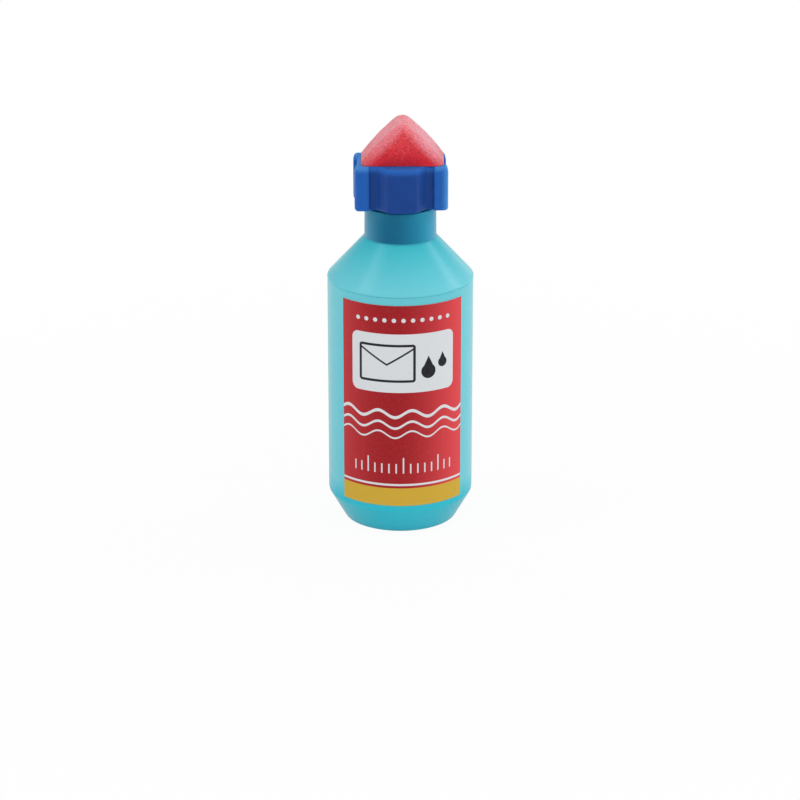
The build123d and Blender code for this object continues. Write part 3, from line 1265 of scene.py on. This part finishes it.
def floor_paper(sizes):
    """Matt paper that clears to white for the camera, but keeps a faint shadow."""
    material, place = new_material("studio_floor")
    camera_ray, mirror_ray = ray_kinds(place)
    away = place.add("ShaderNodeVectorMath", {0: place}, out="Value", operation="LENGTH")
    clear = sizes.floor_glow + away.step(0.02, sizes.floor_fade) * (1 - sizes.floor_glow)
    _, y, _ = place.xyz()
    glare = sizes.front_glare + y.step(-0.25, 0.1) * (sizes.floor_glare - sizes.front_glare)
    matt = place.add("ShaderNodeBsdfDiffuse", {"Color": (0.82, 0.82, 0.82, 1)})
    strength = camera_ray + mirror_ray * glare
    glow = place.add("ShaderNodeEmission", {"Color": white, "Strength": strength})
    sockets = {0: (camera_ray + mirror_ray) * clear, 1: matt, 2: glow}
    end_nodes(place.add("ShaderNodeMixShader", sockets), "Material")
    return material


def facing(place, target):
    """The turn of a lamp or camera at one place that looks at another."""
    return (Vector(target) - Vector(place)).to_track_quat("-Z", "Y").to_euler()


def softbox(name, place, width, watts):
    """A tall lamp that faces the middle of the bottle."""
    height = 0.5
    bottle_middle = (0, 0, 0.055)
    lamp = bpy.data.lights.new(name, "AREA")
    lamp.shape = "RECTANGLE"
    lamp.size = width
    lamp.size_y = height
    lamp.energy = watts
    stand = bpy.data.objects.new(name, lamp)
    stand.location = place
    stand.rotation_euler = facing(place, bottle_middle)
    bpy.context.scene.collection.objects.link(stand)


def photo_camera(sizes):
    """The photo's camera, which looks down at the front of the bottle."""
    camera = bpy.data.cameras.new("photo_camera")
    camera.lens = sizes.focal_length
    camera.sensor_width = 36.0
    camera.shift_x = sizes.sideways_shift
    camera.clip_start = 0.01
    eye = bpy.data.objects.new("photo_camera", camera)
    target = Vector((0, 0, sizes.aim_height))
    level = math.cos(sizes.pitch) * sizes.distance
    eye.location = target + Vector((
        level * math.sin(sizes.azimuth),
        -level * math.cos(sizes.azimuth),
        math.sin(sizes.pitch) * sizes.distance,
    ))
    eye.rotation_euler = facing(eye.location, target)
    bpy.context.scene.collection.objects.link(eye)
    bpy.context.scene.camera = eye


class MOISTENER_OT_stage(bpy.types.Operator):
    """Set up the white room, the floor, the softboxes and the camera"""

    bl_idname = "moistener.stage"
    bl_label = "Set the stage"

    def execute(self, context):
        sizes = context.scene.moistener_stage
        context.scene.view_settings.view_transform = "Standard"
        white_room(sizes)
        shape = bmesh.new()
        bmesh.ops.create_grid(shape, x_segments=4, y_segments=4, size=sizes.floor_size)
        floor = new_piece("studio_floor", shape)
        floor.data.materials.append(floor_paper(sizes))
        softbox("key_softbox", place=(0.62, 0.21, 0.51), width=0.14, watts=sizes.key_power)
        softbox("fill_softbox", place=(-0.46, -0.075, 0.64), width=0.18, watts=sizes.fill_power)
        photo_camera(sizes)
        return {"FINISHED"}


class MOISTENER_PT_workshop(bpy.types.Panel):
    """Lists the steps, and the sizes and colours of the pieces"""

    bl_idname = "MOISTENER_PT_workshop"
    bl_label = "Envelope moistener"
    bl_space_type = "VIEW_3D"
    bl_region_type = "UI"
    bl_category = "Moistener"

    def draw(self, context):
        for operator in operators:
            self.layout.operator(operator.bl_idname)
        for name, group in settings_groups.items():
            box = self.layout.box()
            for key in group.__annotations__:
                box.prop(getattr(context.scene, name), key)


# Operators in the order that they run
operators = (
    MOISTENER_OT_bottle,
    MOISTENER_OT_washer,
    MOISTENER_OT_cap,
    MOISTENER_OT_sponge,
    MOISTENER_OT_label,
    MOISTENER_OT_stage,
)

settings_groups = {
    "moistener_bottle": BottleSettings,
    "moistener_thread": ThreadSettings,
    "moistener_cap": CapSettings,
    "moistener_sponge": SpongeSettings,
    "moistener_label": LabelSettings,
    "moistener_stage": StageSettings,
}


def register():
    for name, group in settings_groups.items():
        bpy.utils.register_class(group)
        setattr(bpy.types.Scene, name, PointerProperty(type=group))
    for kind in (*operators, MOISTENER_PT_workshop):
        bpy.utils.register_class(kind)


def unregister():
    for kind in (MOISTENER_PT_workshop, *reversed(operators)):
        bpy.utils.unregister_class(kind)
    for name, group in reversed(settings_groups.items()):
        delattr(bpy.types.Scene, name)
        bpy.utils.unregister_class(group)


def main():
    register()
    bpy.ops.moistener.bottle()
    bpy.ops.moistener.washer()
    bpy.ops.moistener.cap()
    bpy.ops.moistener.sponge()
    bpy.ops.moistener.label()
    bpy.ops.moistener.stage()


if __name__ == "__main__":
    main()
